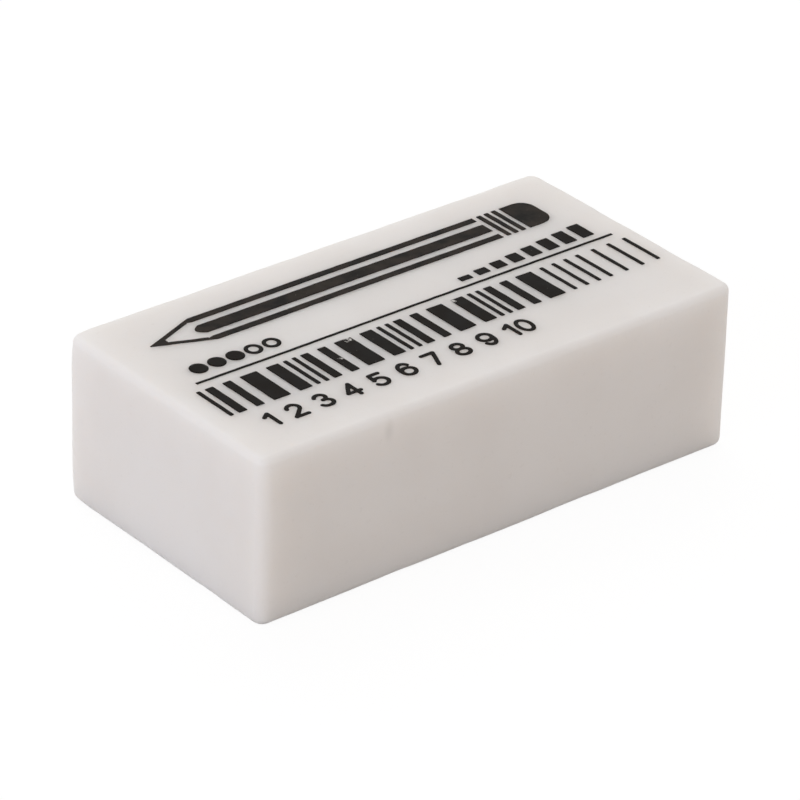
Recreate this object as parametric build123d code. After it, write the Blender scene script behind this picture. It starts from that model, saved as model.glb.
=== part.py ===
from build123d import *
import os

# A block eraser: one solid bar of soft white vinyl, cut to length, with lightly rounded
# edges. It rests on the large face opposite the printed one. X runs along its length,
# Y across its width and Z up, and the origin is the middle of the face it rests on.
# All sizes are in millimetres.

# the bar's section and the length it is cut to
length = 35.0
width = 18.3
height = 10.8

# how far the edges are rounded
corner_radius = 0.75        # the four upright corners
top_edge_radius = 0.45      # round the printed face
bottom_edge_radius = 0.5    # round the face it rests on


def eraser_block():
    """A rounded rectangle drawn up to the full height, then rounded along its top and
    bottom edges, so that a corner's three edges meet in one smooth cap."""
    with BuildPart() as block:
        with BuildSketch():
            RectangleRounded(length, width, corner_radius)
        extrude(amount=height)
        fillet(block.faces().sort_by(Axis.Z)[-1].edges(), top_edge_radius)
        fillet(block.faces().sort_by(Axis.Z)[0].edges(), bottom_edge_radius)
    return block.part


os.makedirs("parts", exist_ok=True)
export_step(eraser_block(), "parts/eraser_block.step")
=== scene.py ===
import math

import bpy
import numpy as np
from mathutils import Matrix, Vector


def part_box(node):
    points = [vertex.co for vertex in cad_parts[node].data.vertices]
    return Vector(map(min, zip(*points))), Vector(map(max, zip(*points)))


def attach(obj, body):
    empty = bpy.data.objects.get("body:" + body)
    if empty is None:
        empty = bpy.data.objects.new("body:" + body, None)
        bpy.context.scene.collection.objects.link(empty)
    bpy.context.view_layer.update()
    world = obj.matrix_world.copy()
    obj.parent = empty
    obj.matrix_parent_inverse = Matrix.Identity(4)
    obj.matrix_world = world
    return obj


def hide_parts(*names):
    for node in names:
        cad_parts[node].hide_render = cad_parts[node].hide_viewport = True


# A small block eraser of soft white vinyl, lying on its large face with the print upwards.
# Sizes in the sections below are in millimetres and become metres as a mesh is made.
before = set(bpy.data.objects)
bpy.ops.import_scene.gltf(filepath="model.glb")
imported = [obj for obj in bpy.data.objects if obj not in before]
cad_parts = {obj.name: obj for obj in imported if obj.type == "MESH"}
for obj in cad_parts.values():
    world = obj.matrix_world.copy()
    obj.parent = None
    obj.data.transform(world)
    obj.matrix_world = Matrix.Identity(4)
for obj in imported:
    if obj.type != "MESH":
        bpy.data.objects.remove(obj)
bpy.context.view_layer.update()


# ---- the bar of vinyl -------------------------------------------------------------------
# One bar of soft white vinyl, pressed as a slab and cut to size. The cut and the hand leave
# its edges lightly rounded and its faces a few hundredths of a millimetre away from flat.

MM = 0.001
block_low, block_high = (np.array(corner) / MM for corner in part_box("eraser_block"))
length, _, height = block_high - block_low

corner_radius = 0.75        # the four upright corners
top_edge_radius = 0.45      # round the printed face
bottom_edge_radius = 0.5    # round the face it rests on

swell = 0.012               # how far its faces stray from flat over a long way
swell_length = 14
ripple = 0.003              # and over a short way
ripple_length = 4

edge_rub = 0.02             # the most that handling has rubbed off an edge
edge_rub_length = 3.5

# how far handling has blunted each corner of the bar, by its side in x, y and z
blunted_corners = {(-1, 1, 1): 0.12, (-1, 1, 0): 0.09, (1, -1, 1): 0.03, (-1, -1, 1): 0.03}
blunt_reach = 1.0

# a faint grey scuff on the front face, just under its upper edge
scuff_x = -8.5
scuff_z = 9.8
scuff_reach = 0.5           # to each side
scuff_rise = 1.1            # upwards and downwards

vinyl_warm = (0.80, 0.772, 0.748)
vinyl_cool = (0.82, 0.796, 0.776)
vinyl_fleck = (0.74, 0.712, 0.685)
vinyl_scuff = (0.74, 0.717, 0.696)
light_depth = 2.8           # how far light gets through the vinyl
light_by_colour = (1.0, 0.95, 0.90)     # and the share of that for red, green and blue

face_step = 0.35            # the grid on the flats
edge_step = 0.085           # the grid over the rounded edges


def waves(points, seed, wavelength, count=7):
    """A smooth random field, mostly between -1 and 1: plane sine waves in random directions,
    with random starts and lengths near the one given, added up and divided by root count."""
    rng = np.random.default_rng(seed)
    directions = rng.normal(size=(count, 3))
    directions /= np.linalg.norm(directions, axis=1, keepdims=True)
    lengths = wavelength * rng.uniform(0.7, 1.5, count)
    starts = rng.uniform(0, 2 * np.pi, count)
    angles = points @ (2 * np.pi * directions / lengths[:, None]).T + starts
    return np.sin(angles).sum(axis=-1) / math.sqrt(count)


def unevenness(points):
    """How far the vinyl stands out of its true plane: a long swell, and a ripple laid on it."""
    long_way = swell * waves(points, seed=3, wavelength=swell_length)
    return long_way + ripple * waves(points, seed=8, wavelength=ripple_length)


def grid_lines(low, high):
    """Places along one side of the bar: close together over the rounded ends, wide between them."""
    over_edge = np.arange(0, corner_radius, edge_step)
    flats = round((high - low - 2 * corner_radius) / face_step)
    between = np.linspace(low + corner_radius, high - corner_radius, flats + 1)
    return np.concatenate([low + over_edge, between, high - over_edge[::-1]])


def sharp_box():
    """Points and quads of a box with sharp edges: each of its six sides is a grid over the other
    two directions, and points that two sides share are made one."""
    lines = [grid_lines(lo, hi) for lo, hi in zip(block_low, block_high)]
    points, quads, count = [], [], 0
    for axis in range(3):
        across, along = (axis + 1) % 3, (axis + 2) % 3
        a, b = np.meshgrid(lines[across], lines[along], indexing="ij")
        index = np.arange(a.size).reshape(a.shape)
        loop = [index[:-1, :-1], index[1:, :-1], index[1:, 1:], index[:-1, 1:]]
        for level, turn in ((block_high[axis], 1), (block_low[axis], -1)):
            side = np.empty((a.size, 3))
            side[:, axis] = level
            side[:, across] = a.ravel()
            side[:, along] = b.ravel()
            points.append(side)
            quads.append(count + np.stack(loop[::turn], axis=-1).reshape(-1, 4))
            count += a.size
    points, first = np.unique(np.round(np.concatenate(points), 6), axis=0, return_inverse=True)
    return points, first.ravel()[np.concatenate(quads)]


def rounded_bar(sharp):
    """The sharp box with its edges rounded, and how much each point lies on an edge, 0 to 1.
    In plan a point is moved in from the corner squares to quarter discs. A point on the top or
    bottom then leans by an angle that runs from upright on the flat to level on the wall, over
    the edge radius, and goes in by r(1 - cos) and up by r sin, which draws a quarter circle."""
    plan, z = sharp[:, :2], sharp[:, 2]
    core = block_high[:2] - corner_radius
    anchor = np.clip(plan, -core, core)
    out = plan - anchor
    ring = np.abs(out).max(axis=1)
    reach = np.linalg.norm(out, axis=1)
    direction = out / np.maximum(reach, 1e-9)[:, None]
    from_wall = corner_radius - ring

    upper = z > height / 2
    radius = np.where(upper, top_edge_radius, bottom_edge_radius)
    from_face = np.where(upper, height - z, z)
    lean = np.pi / 4 * (1 + np.minimum(from_wall / radius, 1) - np.minimum(from_face / radius, 1))
    inset = np.where(from_wall < radius, radius * (1 - np.cos(lean)), from_wall)
    rise = np.where(from_face < radius, radius * (1 - np.sin(lean)), from_face)
    z = np.where(upper, height - rise, rise)

    bar = np.column_stack([anchor + direction * (corner_radius - inset)[:, None], z])
    up = np.where(upper, np.sin(lean), -np.sin(lean))
    normal = np.column_stack([direction * np.cos(lean)[:, None], up])
    on_edge = np.maximum(np.sin(2 * lean), 2 * np.abs(direction).prod(axis=1) * np.cos(lean) ** 2)
    return bar, normal, on_edge


def add_mesh(name, points, faces):
    """A smooth mesh object in the scene, from arrays of points in millimetres and of faces."""
    mesh = bpy.data.meshes.new(name)
    mesh.from_pydata((points * MM).tolist(), [], faces.tolist())
    mesh.shade_smooth()
    piece = bpy.data.objects.new(name, mesh)
    bpy.context.scene.collection.objects.link(piece)
    return piece


def node(tree, kind, inputs=(), **settings):
    """A shader node of this kind, with its settings, and its inputs set or linked by name."""
    made = tree.nodes.new("ShaderNode" + kind)
    for name, value in settings.items():
        setattr(made, name, value)
    for name, value in dict(inputs).items():
        if isinstance(value, bpy.types.NodeSocket):
            tree.links.new(value, made.inputs[name])
        else:
            made.inputs[name].default_value = value
    return made


def grain(tree, place, size, detail=3.0, roughness=0.5):
    """Noise whose lumps are about this many millimetres across."""
    inputs = {"Vector": place, "Scale": 1 / (size * MM), "Detail": detail, "Roughness": roughness}
    return node(tree, "TexNoise", inputs).outputs["Fac"]


def stretch(tree, value, low, high, to_low, to_high):
    """A value carried smoothly from one range to another."""
    inputs = {"Value": value, "From Min": low, "From Max": high, "To Min": to_low, "To Max": to_high}
    return node(tree, "MapRange", inputs, interpolation_type="SMOOTHSTEP").outputs["Result"]


def blend(tree, share, first, second):
    """A colour between two others."""
    mix = node(tree, "Mix", data_type="RGBA")
    tree.links.new(share, mix.inputs[0])
    for socket, colour in ((mix.inputs[6], first), (mix.inputs[7], second)):
        if isinstance(colour, bpy.types.NodeSocket):
            tree.links.new(colour, socket)
        else:
            socket.default_value = (*colour, 1)
    return mix.outputs[2]


def white_vinyl():
    """Soft white vinyl: faint warm and cool clouds, one scuff, a satin skin with a fine pressed
    grain, faint upright drag marks of the cutter, and light that goes some way in before it
    comes out."""
    material = bpy.data.materials.new("white_vinyl")
    material.use_nodes = True
    tree = material.node_tree
    skin = tree.nodes["Principled BSDF"]
    place = node(tree, "TexCoord").outputs["Object"]

    clouds = stretch(tree, grain(tree, place, 7.0), 0.35, 0.65, 0.0, 1.0)
    colour = blend(tree, clouds, vinyl_warm, vinyl_cool)
    flecks = stretch(tree, grain(tree, place, 0.25, detail=2.0), 0.62, 0.78, 0.0, 0.35)
    colour = blend(tree, flecks, colour, vinyl_fleck)

    # heights are squashed, so that a scuff that fades evenly all round comes out tall
    squash = scuff_reach / scuff_rise
    squashed = node(tree, "Mapping", {"Vector": place, "Scale": (1.0, 1.0, squash)}).outputs[0]
    middle = (scuff_x * MM, block_low[1] * MM, scuff_z * squash * MM)
    apart = node(tree, "VectorMath", {0: squashed, 1: middle}, operation="DISTANCE").outputs["Value"]
    scuffed = stretch(tree, apart, 0.0, scuff_reach * MM, 1.0, 0.0)
    tree.links.new(blend(tree, scuffed, colour, vinyl_scuff), skin.inputs["Base Color"])

    sheen = stretch(tree, grain(tree, place, 2.0), 0.3, 0.7, 0.46, 0.6)
    tree.links.new(sheen, skin.inputs["Roughness"])

    pressed = node(tree, "Bump", {"Height": grain(tree, place, 0.9), "Distance": 0.008 * MM})
    upright = node(tree, "Mapping", {"Vector": place, "Scale": (1.0, 1.0, 0.03)}).outputs[0]
    drag = {"Height": grain(tree, upright, 0.35), "Distance": 0.006 * MM, "Normal": pressed.outputs[0]}
    cut = node(tree, "Bump", drag)
    fine = {"Height": grain(tree, place, 0.12), "Distance": 0.003 * MM, "Normal": cut.outputs[0]}
    tree.links.new(node(tree, "Bump", fine).outputs[0], skin.inputs["Normal"])

    skin.inputs["Subsurface Weight"].default_value = 1.0
    skin.inputs["Subsurface Radius"].default_value = light_by_colour
    skin.inputs["Subsurface Scale"].default_value = light_depth * MM
    skin.inputs["Specular IOR Level"].default_value = 0.4
    return material


sharp, quads = sharp_box()
bar, normal, on_edge = rounded_bar(sharp)
rubbed = edge_rub * on_edge * np.clip(waves(bar, seed=21, wavelength=edge_rub_length), 0, 1)
for corner, depth in blunted_corners.items():
    apart = np.linalg.norm(bar - block_high * corner, axis=1)
    rubbed += depth * np.exp(-(apart / blunt_reach) ** 2)
bar += normal * (unevenness(bar) - rubbed)[:, None]
bar[:, 2] = np.maximum(bar[:, 2], 0)
eraser = add_mesh("vinyl_bar", bar, quads)
eraser.data.materials.append(white_vinyl())
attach(eraser, "root")
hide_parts("eraser_block")


# ---- the printed pencil -----------------------------------------------------------------
# A plain picture of a pencil, the widest thing in the print: its lead, the bare wood, a barrel
# of three facets, a banded ferrule and a rubber stub. All the print is one dark ink, laid on
# the top face as a film that sinks a little into the soft vinyl.

film = 0.02                 # how far the ink stands on the face
film_depth = 0.05           # how thick it is with what has sunk in
ink_step = 0.08             # the grid over a printed patch
ink_creep = 0.006           # how far the ink has crept at its edges
creep_length = 0.9
weld_within = 0.002         # doubled points this near become one

ink_dense = (0.0030, 0.0018, 0.0010)
ink_usual = (0.0090, 0.0066, 0.0050)
ink_thin = (0.042, 0.034, 0.028)
ink_pinhole = (0.20, 0.185, 0.17)
ink_rubbed = (0.62, 0.60, 0.575)
thin_from, thin_to = 2.4, 3.4       # where the ink gets thinner, towards the back

# where handling has rubbed the ink, on the top face
rubbed_spots = [
    {"x": -5.0, "y": -1.0, "reach": 0.8, "strength": 0.62},
    {"x": 2.7, "y": -1.0, "reach": 0.85, "strength": 0.62},
    {"x": -6.7, "y": -2.5, "reach": 0.45, "strength": 0.6},
    {"x": -5.6, "y": 4.2, "reach": 0.9, "strength": 0.5},
    {"x": -2.8, "y": 0.0, "reach": 1.2, "strength": 0.42},
]

pencil_middle = 5.0
pencil_half = 1.5
pencil_low = pencil_middle - pencil_half
pencil_high = pencil_middle + pencil_half
point = -14.7
lead_end = -13.45
cone_end = -10.9
barrel_end = 10.4
ferrule_start = 10.72
ferrule_end = 12.2
stub_start = 12.5
stub_end = 14.5
outer_facet = 0.5           # the width of the barrel's two outer facets
facet_gap = 0.5             # the bare lines between the barrel's three facets
cone_line = 0.33            # the line along each side of the bare wood
ferrule_bands = 3
band_share = 0.6            # of the pitch from one band to the next


def patch(left, right, low, high):
    """A grid between two side curves, from low to high across the face. left and right are x as
    a function of y, or plain numbers."""
    rows = max(3, math.ceil((high - low) / ink_step) + 1)
    y = np.linspace(low, high, rows)
    x_left = left(y) if callable(left) else np.full(rows, left)
    x_right = right(y) if callable(right) else np.full(rows, right)
    columns = max(3, math.ceil((x_right - x_left).max() / ink_step) + 1)
    share = np.linspace(0, 1, columns)
    x = x_left[:, None] * (1 - share) + x_right[:, None] * share
    return x, np.repeat(y[:, None], columns, axis=1)


def rounded_patch(left, right, low, high, radius=0.03):
    """A patch between two upright sides, with its corners rounded: each side goes in by
    r - sqrt(r^2 - t^2), where t is how far y is into the corner."""
    middle, half = (low + high) / 2, (high - low) / 2

    def inset(y):
        into = np.clip(np.abs(y - middle) - (half - radius), 0, radius)
        return radius - np.sqrt(radius ** 2 - into ** 2)

    return patch(lambda y: left + inset(y), lambda y: right - inset(y), low, high)


def on_face(x, y):
    """Points of the ink film's upper side over these places on the top face. The ink has crept
    a little at its edges, so each place is first moved by a small random field."""
    flat = np.column_stack([x.ravel(), y.ravel(), np.full(x.size, height)])
    creep_x = waves(flat, seed=31, wavelength=creep_length)
    creep_y = waves(flat, seed=32, wavelength=creep_length)
    flat = flat + ink_creep * np.column_stack([creep_x, creep_y, np.zeros(len(flat))])
    flat[:, 2] += unevenness(flat) + film
    return flat


def print_film(name, patches):
    """One printed mark: the patches' grids laid on the face, welded, and given the film's depth
    downwards, so that the mark is a closed thin body part sunk in the vinyl."""
    points, faces, count = [], [], 0
    for x, y in patches:
        index = count + np.arange(x.size).reshape(x.shape)
        loop = [index[:-1, :-1], index[:-1, 1:], index[1:, 1:], index[1:, :-1]]
        faces.append(np.stack(loop, axis=-1).reshape(-1, 4))
        points.append(on_face(x, y))
        count += x.size
    finish_print(add_mesh(name, np.concatenate(points), np.concatenate(faces)))


def finish_print(mark):
    """Welds a printed mark's doubled points, gives it the film's depth, and inks it."""
    weld = mark.modifiers.new("weld", "WELD")
    weld.merge_threshold = weld_within * MM
    depth = mark.modifiers.new("depth", "SOLIDIFY")
    depth.thickness = film_depth * MM
    depth.offset = -1
    mark.data.materials.append(dark_ink)
    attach(mark, "root")


def printing_ink():
    """Dark brown-black ink: denser and thinner areas, pinholes, and a few rubbed places where the
    vinyl shows through, broken up by a fine speckle."""
    material = bpy.data.materials.new("dark_ink")
    material.use_nodes = True
    tree = material.node_tree
    skin = tree.nodes["Principled BSDF"]
    place = node(tree, "TexCoord").outputs["Object"]

    density = stretch(tree, grain(tree, place, 1.1), 0.3, 0.7, 0.0, 1.0)
    colour = blend(tree, density, ink_dense, ink_usual)
    across = node(tree, "SeparateXYZ", {"Vector": place}).outputs["Y"]
    to_back = stretch(tree, across, thin_from * MM, thin_to * MM, 0.0, 0.7)
    thin = node(tree, "Math", {0: to_back, 1: density}, operation="MULTIPLY")
    colour = blend(tree, thin.outputs[0], colour, ink_thin)
    pinholes = stretch(tree, grain(tree, place, 0.16, detail=1.0), 0.75, 0.82, 0.0, 0.4)
    colour = blend(tree, pinholes, colour, ink_pinhole)

    speckle = grain(tree, place, 0.22, detail=2.0, roughness=0.6)
    for spot in rubbed_spots:
        centre = (spot["x"] * MM, spot["y"] * MM, height * MM)
        apart = node(tree, "VectorMath", {0: place, 1: centre}, operation="DISTANCE").outputs["Value"]
        near = stretch(tree, apart, 0.0, spot["reach"] * MM, spot["strength"], 0.0)
        worn = node(tree, "Math", {0: near, 1: speckle}, operation="ADD").outputs[0]
        share = stretch(tree, worn, 0.95, 1.15, 0.0, 1.0)
        colour = blend(tree, share, colour, ink_rubbed)
    tree.links.new(colour, skin.inputs["Base Color"])

    tree.links.new(stretch(tree, density, 0.0, 1.0, 0.5, 0.62), skin.inputs["Roughness"])
    bump = node(tree, "Bump", {"Height": grain(tree, place, 0.14), "Distance": 0.004 * MM})
    tree.links.new(bump.outputs[0], skin.inputs["Normal"])
    skin.inputs["Specular IOR Level"].default_value = 0.05
    return material


dark_ink = printing_ink()


def cone_x(y):
    """The x of the cone's outline at y: at the point on the pencil's middle line, and evenly
    further along the barrel away from it."""
    return point + np.abs(y - pencil_middle) / pencil_half * (cone_end - point)


def scallop(y, low, high, bulge=0.5):
    """The end of a facet at the bare wood: a parabola that reaches furthest towards the point in
    the facet's middle. It never leaves the cone."""
    middle, half = (low + high) / 2, (high - low) / 2
    return np.maximum(cone_end - bulge * (1 - ((y - middle) / half) ** 2), cone_x(y))


def cone_line_start(y):
    """The outer side of the line along the bare wood: the cone's outline, from the lead on."""
    return np.maximum(cone_x(y), lead_end)


def cone_line_end(y):
    """Its inner side: the outline carried on by the line's width, cut off by the outer facet."""
    inner = cone_x(y) + cone_line / pencil_half * (cone_end - point)
    low, high = facets[1 if y[-1] > pencil_middle else 0]
    on_facet = np.abs(y - pencil_middle) > pencil_half - outer_facet
    return np.maximum(np.where(on_facet, np.minimum(inner, scallop(y, low, high)), inner), lead_end)


def stub_round(y, radius=0.95):
    """The far end of the pencil's own rubber, with its corners rounded: at each, the end goes in
    by r - sqrt(r^2 - t^2), where t is how far y is into the corner."""
    into = np.clip(np.abs(y - pencil_middle) - (pencil_half - radius), 0, radius)
    return stub_end - radius + np.sqrt(radius ** 2 - into ** 2)


inner_half = pencil_half - outer_facet - facet_gap
facets = [
    (pencil_low, pencil_low + outer_facet),
    (pencil_high - outer_facet, pencil_high),
    (pencil_middle - inner_half, pencil_middle + inner_half),
]
lead_half = pencil_half * (lead_end - point) / (cone_end - point)
line_from = lead_half - cone_line
pencil = [
    patch(cone_x, lead_end, pencil_middle - lead_half, pencil_middle + lead_half),
    patch(cone_line_start, cone_line_end, pencil_middle + line_from, pencil_high),
    patch(cone_line_start, cone_line_end, pencil_low, pencil_middle - line_from),
]
for low, high in facets:
    pencil.append(patch(lambda y: scallop(y, low, high), barrel_end, low, high))
band_pitch = (ferrule_end - ferrule_start) / (ferrule_bands - 1 + band_share)
for band in range(ferrule_bands):
    start = ferrule_start + band * band_pitch
    pencil.append(rounded_patch(start, start + band_share * band_pitch, pencil_low, pencil_high))
pencil.append(patch(stub_start, stub_round, pencil_low, pencil_high))
print_film("printed_pencil", pencil)


# ---- the printed dots -------------------------------------------------------------------
# A row of small round marks at the left, some solid and some open, above the printed line.

dots_start = -13.92
dots_pitch = 1.3
dots_middle = 1.35
dot_radius = 0.57
ring_inner = 0.31
solid_dots = 3
open_dots = 2
dot_sides = 40
dot_rings = 4


def dot(centre, inner):
    """A round mark as a grid of circles: the radius grows from inner to full across the grid and
    the angle goes once round along it."""
    turn = np.linspace(0, 2 * np.pi, dot_sides + 1)
    radius = np.linspace(inner, dot_radius, dot_rings + 1)
    x = centre + np.cos(turn)[:, None] * radius
    y = dots_middle + np.sin(turn)[:, None] * radius
    return x, y


dots = [dot(dots_start + k * dots_pitch, 0.0) for k in range(solid_dots)]
dots += [dot(dots_start + (solid_dots + k) * dots_pitch, ring_inner) for k in range(open_dots)]
print_film("printed_dots", dots)


# ---- the printed steps ------------------------------------------------------------------
# A row of small upright blocks at the right that grow step by step, above the printed line.

steps_start = 4.8
steps_end = 15.05
steps_low = 0.6
steps_high = 2.25
step_count = 8
step_share = 0.65           # of the pitch from one block to the next
first_step = 3              # the first block's height, in rises from one block to the next
step_pitch = (steps_end - steps_start) / (step_count - 1 + step_share)
steps = []
for k in range(step_count):
    left = steps_start + k * step_pitch
    top = steps_low + (steps_high - steps_low) * (first_step + k) / (first_step + step_count - 1)
    steps.append(rounded_patch(left, left + step_share * step_pitch, steps_low, top))
print_film("printed_steps", steps)


# ---- the printed line -------------------------------------------------------------------
# One thin line the length of the face, between the small marks and the bars.

line_start = -15.1
line_end = 15.9
line_width = 0.2
print_film("printed_line", [patch(line_start, line_end, -line_width / 2, line_width / 2)])


# ---- the printed bars -------------------------------------------------------------------
# A field of upright bars, thick and thin by a made-up rule, so that it encodes nothing.

bars_start = -15.75
bars_end = 16.25
bars_low = -4.05
bars_high = -0.8
bar_count = 29
last_thin = 7               # bars at the right that are all thin and wider apart
bar_trim = 0.1              # of a module, off each bar's width
order = np.arange(bar_count)
bar_widths = 1 + (order * order + 2 * order // 3) % 4
bar_widths[-last_thin:] = 1
gap_widths = 1 + (order * 5 // 3) % 2
gap_widths[-last_thin:] += 1
module = (bars_end - bars_start) / (bar_widths.sum() + gap_widths[:-1].sum())
starts = bars_start + module * np.concatenate([[0], np.cumsum(bar_widths + gap_widths)[:-1]])
bars = [
    rounded_patch(start, start + (wide - bar_trim) * module, bars_low, bars_high)
    for start, wide in zip(starts, bar_widths)
]
print_film("printed_bars", bars)


# ---- the printed numbers ----------------------------------------------------------------
# A row of plain numbers from 1 to 10 below the bars, drawn with a round pen of one width.

numbers_start = -14.5
numbers_end = 4.85
numbers_low = -6.45
numbers_high = -4.9
pen = 0.27                  # the width of the strokes
digit_width = 0.84          # between the middles of a figure's outermost strokes
digit_gap = 0.19            # from one figure's ink to the next
number_grid = 0.045         # the grid that the figures are cut from
border_slides = 3           # how often a figure's border is slid onto its outline


def arc(x, y, wide, tall, start, end):
    """Points on an ellipse about (x, y), from one angle to another, in degrees."""
    turn = np.radians(np.linspace(start, end, max(3, round(abs(end - start) / 9))))
    return [*zip(x + wide * np.cos(turn), y + tall * np.sin(turn))]


# Each figure's strokes, in a box one unit wide and one unit tall.
six = [arc(0.5, 0.5, 0.5, 0.5, 38, 180) + arc(0.5, 0.31, 0.5, 0.31, 180, 540)]
digits = {
    "0": [arc(0.5, 0.5, 0.5, 0.5, 0, 360)],
    "1": [[(0.14, 0.77), (0.6, 1.0), (0.6, 0.0)]],
    "2": [arc(0.5, 0.71, 0.46, 0.29, 170, -38) + [(0.0, 0.0), (1.0, 0.0)]],
    "3": [arc(0.46, 0.76, 0.42, 0.24, 160, -90) + arc(0.48, 0.26, 0.5, 0.26, 90, -160)],
    "4": [[(0.76, 0.0), (0.76, 1.0), (0.0, 0.28), (1.04, 0.28)]],
    "5": [[(0.92, 1.0), (0.16, 1.0), (0.07, 0.5)] + arc(0.48, 0.32, 0.52, 0.32, 125, -155)],
    "6": six,
    "7": [[(0.0, 1.0), (1.0, 1.0), (0.36, 0.0)]],
    "8": [arc(0.5, 0.76, 0.42, 0.24, 0, 360), arc(0.5, 0.26, 0.5, 0.26, 0, 360)],
    "9": [[(1 - x, 1 - y) for x, y in stroke] for stroke in six],
}


def stroke_distance(points, strokes):
    """How far each point lies from the nearest stroke: the least distance to its straight parts,
    each measured at the nearest place between that part's two ends."""
    nearest = np.full(len(points), np.inf)
    for stroke in strokes:
        stroke = np.array(stroke)
        start, along = stroke[:-1], np.diff(stroke, axis=0)
        offset = points[:, None, :] - start
        share = np.clip((offset * along).sum(axis=2) / (along ** 2).sum(axis=1), 0, 1)
        apart = np.linalg.norm(offset - share[:, :, None] * along, axis=2)
        nearest = np.minimum(nearest, apart.min(axis=1))
    return nearest


def cut_figure(strokes, reach):
    """The quads of a fine grid whose corners lie within reach of the strokes on average. Where two
    of them would meet only at a corner, the quad beside them is kept too. Each point on the
    border is then slid along the distance's slope to lie just on the outline."""
    low = np.min([np.min(stroke, axis=0) for stroke in strokes], axis=0) - 2 * reach
    high = np.max([np.max(stroke, axis=0) for stroke in strokes], axis=0) + 2 * reach
    x, y = np.meshgrid(*(np.arange(a, b, number_grid) for a, b in zip(low, high)))
    points = np.column_stack([x.ravel(), y.ravel()])
    index = np.arange(x.size).reshape(x.shape)
    loop = [index[:-1, :-1], index[:-1, 1:], index[1:, 1:], index[1:, :-1]]
    quads = np.stack(loop, axis=-1).reshape(-1, 4)
    inside = stroke_distance(points, strokes)[quads].mean(axis=1) < reach
    cells = inside.reshape(x.shape[0] - 1, x.shape[1] - 1)
    a, b, c, d = cells[:-1, :-1], cells[:-1, 1:], cells[1:, :-1], cells[1:, 1:]
    b |= a & d & ~b & ~c
    a |= b & c & ~a & ~d
    quads_of_point = np.bincount(quads[inside].ravel(), minlength=len(points))
    border = (quads_of_point > 0) & (quads_of_point < 4)
    nudge = 0.1 * number_grid
    for _ in range(border_slides):
        at = points[border]
        here = stroke_distance(at, strokes)
        slope = np.column_stack([
            stroke_distance(at + step, strokes) - stroke_distance(at - step, strokes)
            for step in ([nudge, 0], [0, nudge])
        ]) / (2 * nudge)
        points[border] = at + slope * (reach - here)[:, None]
    used, first = np.unique(quads[inside], return_inverse=True)
    return points[used], first.reshape(-1, 4)


def figure_span(figure):
    """The least and the greatest x of a figure's strokes, in its unit box."""
    x = np.concatenate([np.array(stroke)[:, 0] for stroke in digits[figure]])
    return x.min(), x.max()


# The room that the figures leave is shared out evenly between the numbers.
texts = [str(number) for number in range(1, 11)]
figures = "".join(texts)
ink = sum(digit_width * np.ptp(figure_span(figure)) + pen for figure in figures)
spare = numbers_end - numbers_start - ink - (len(figures) - len(texts)) * digit_gap
space = spare / (len(texts) - 1)
middle_height = numbers_high - numbers_low - pen
points, faces, count = [], [], 0
left = numbers_start
for text in texts:
    for figure in text:
        least, greatest = figure_span(figure)
        x_start = left + pen / 2 - digit_width * least
        y_start = numbers_low + pen / 2
        strokes = [
            [(x_start + digit_width * u, y_start + middle_height * v) for u, v in stroke]
            for stroke in digits[figure]
        ]
        cut, quads = cut_figure(strokes, pen / 2)
        points.append(on_face(cut[:, 0], cut[:, 1]))
        faces.append(count + quads)
        count += len(cut)
        left += digit_width * (greatest - least) + pen + digit_gap
    left += space - digit_gap
finish_print(add_mesh("printed_numbers", np.concatenate(points), np.concatenate(faces)))


# ---- the floor, the room and the lamps --------------------------------------------------
# A plain white table top in a white room, with a large soft lamp low on the left and a weaker
# one high behind. Seen directly, the room and the table top are plain white.

floor_half = 2000           # from its middle to a side
floor_drop = 0.02           # below the block, so that the two never share a plane
floor_bounce = (0.90, 0.86, 0.82, 1)    # the colour that lights the block from below
floor_shown = (0.12, 0.12, 0.12, 1)     # what is seen, which takes the block's shadow
floor_lift = 0.91                       # and is lifted to white by this much
room_colour = (1.0, 0.96, 0.94, 1)
room_light = 0.615
plain_white = (1, 1, 1, 1)


def seen_directly(tree):
    """1 for rays from the camera, from a mirror or through glass, and 0 for the rest."""
    path = node(tree, "LightPath").outputs
    seen = node(tree, "Math", {0: path["Is Camera Ray"], 1: path["Is Glossy Ray"]}, operation="MAXIMUM")
    through = {0: seen.outputs[0], 1: path["Is Transmission Ray"]}
    return node(tree, "Math", through, operation="MAXIMUM").outputs[0]


corners = np.array([(-1, -1, 0), (1, -1, 0), (1, 1, 0), (-1, 1, 0)])
floor = add_mesh("floor", corners * floor_half - [0, 0, floor_drop], np.array([[0, 1, 2, 3]]))
floor_white = bpy.data.materials.new("floor_white")
floor_white.use_nodes = True
tree = floor_white.node_tree
tree.nodes.clear()
matte = node(tree, "BsdfDiffuse", {"Color": floor_bounce})
faint = node(tree, "BsdfDiffuse", {"Color": floor_shown})
lift = node(tree, "Emission", {"Color": plain_white, "Strength": floor_lift})
shown = node(tree, "AddShader", {0: faint.outputs[0], 1: lift.outputs[0]})
either = node(tree, "MixShader", {0: seen_directly(tree), 1: matte.outputs[0], 2: shown.outputs[0]})
node(tree, "OutputMaterial", {"Surface": either.outputs[0]})
floor.data.materials.append(floor_white)

world = bpy.data.worlds.new("room")
bpy.context.scene.world = world
world.use_nodes = True
tree = world.node_tree
tree.nodes.clear()
room = node(tree, "Background", {"Color": room_colour, "Strength": room_light})
white = node(tree, "Background", {"Color": plain_white, "Strength": 1.0})
either = node(tree, "MixShader", {0: seen_directly(tree), 1: room.outputs[0], 2: white.outputs[0]})
node(tree, "OutputWorld", {"Surface": either.outputs[0]})


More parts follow.
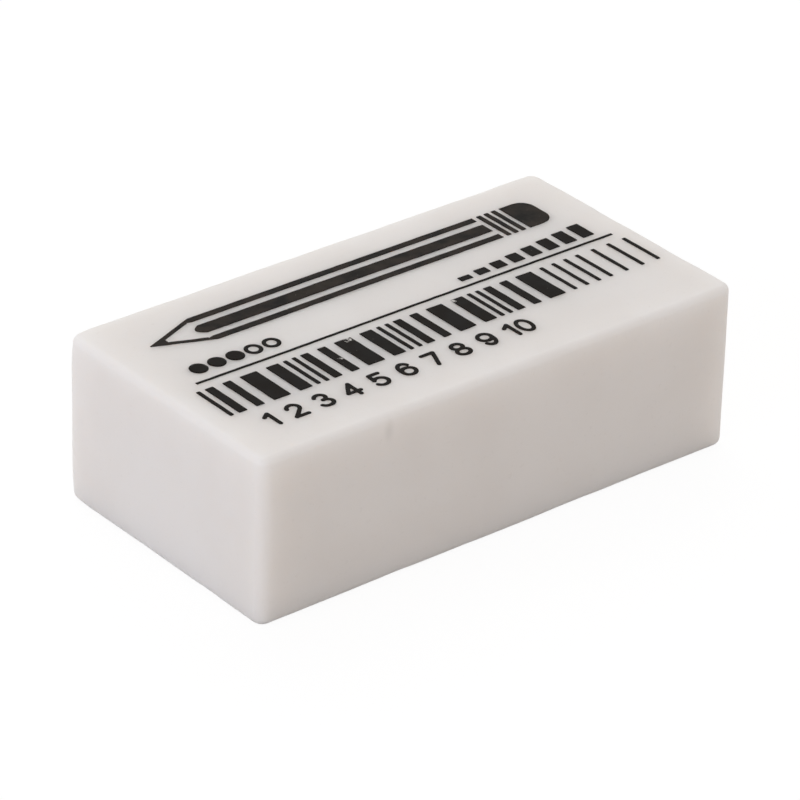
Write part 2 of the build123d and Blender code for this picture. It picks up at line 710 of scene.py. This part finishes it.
def soft_lamp(name, azimuth, elevation, distance, size, power, colour):
    """A square soft lamp that faces the block from this bearing, in degrees from -Y towards +X,
    and from this many metres away."""
    turn, lift = math.radians(azimuth), math.radians(elevation)
    level_part = math.cos(lift)
    direction = (math.sin(turn) * level_part, -math.cos(turn) * level_part, math.sin(lift))
    light = bpy.data.lights.new(name, "AREA")
    light.shape = "SQUARE"
    light.size = size
    light.energy = power
    light.color = colour
    lamp = bpy.data.objects.new(name, light)
    lamp.location = np.array(direction) * distance
    lamp.rotation_euler = (math.pi / 2 - lift, 0, turn)
    bpy.context.scene.collection.objects.link(lamp)


cool_light = (0.765, 0.84, 1.0)
even_light = (0.98, 1.0, 0.97)
soft_lamp("left", azimuth=-88, elevation=15, distance=0.6, size=0.5, power=1.28, colour=cool_light)
soft_lamp("back", azimuth=150, elevation=50, distance=0.6, size=0.5, power=0.85, colour=even_light)


# ---- the camera -------------------------------------------------------------------------
# A long lens that looks down on the block from its front left corner, turned very slightly.

view_azimuth = math.radians(-39.75)
view_elevation = math.radians(29.36)
view_roll = math.radians(1.64)
view_distance = 8.210 * length * MM
view_right = -0.0044 * length * MM
view_above = -0.0166 * length * MM
lens = 221.2
sensor = 36.0
nearest_seen = 10

back = np.array([
    math.sin(view_azimuth) * math.cos(view_elevation),
    -math.cos(view_azimuth) * math.cos(view_elevation),
    math.sin(view_elevation),
])
level = np.cross([0, 0, 1], back)
level /= np.linalg.norm(level)
upward = np.cross(back, level)
right = math.cos(view_roll) * level + math.sin(view_roll) * upward
above = math.cos(view_roll) * upward - math.sin(view_roll) * level
centre = np.array([0, 0, height * MM / 2])
eye = centre + view_distance * back + view_right * right + view_above * above

camera_data = bpy.data.cameras.new("camera")
camera_data.lens = lens
camera_data.sensor_width = sensor
camera_data.clip_start = nearest_seen * MM
camera = bpy.data.objects.new("camera", camera_data)
matrix = np.eye(4)
matrix[:3, :] = np.column_stack([right, above, back, eye])
camera.matrix_world = Matrix(matrix.tolist())
bpy.context.scene.collection.objects.link(camera)
bpy.context.scene.camera = camera
bpy.context.scene.view_settings.view_transform = "Standard"
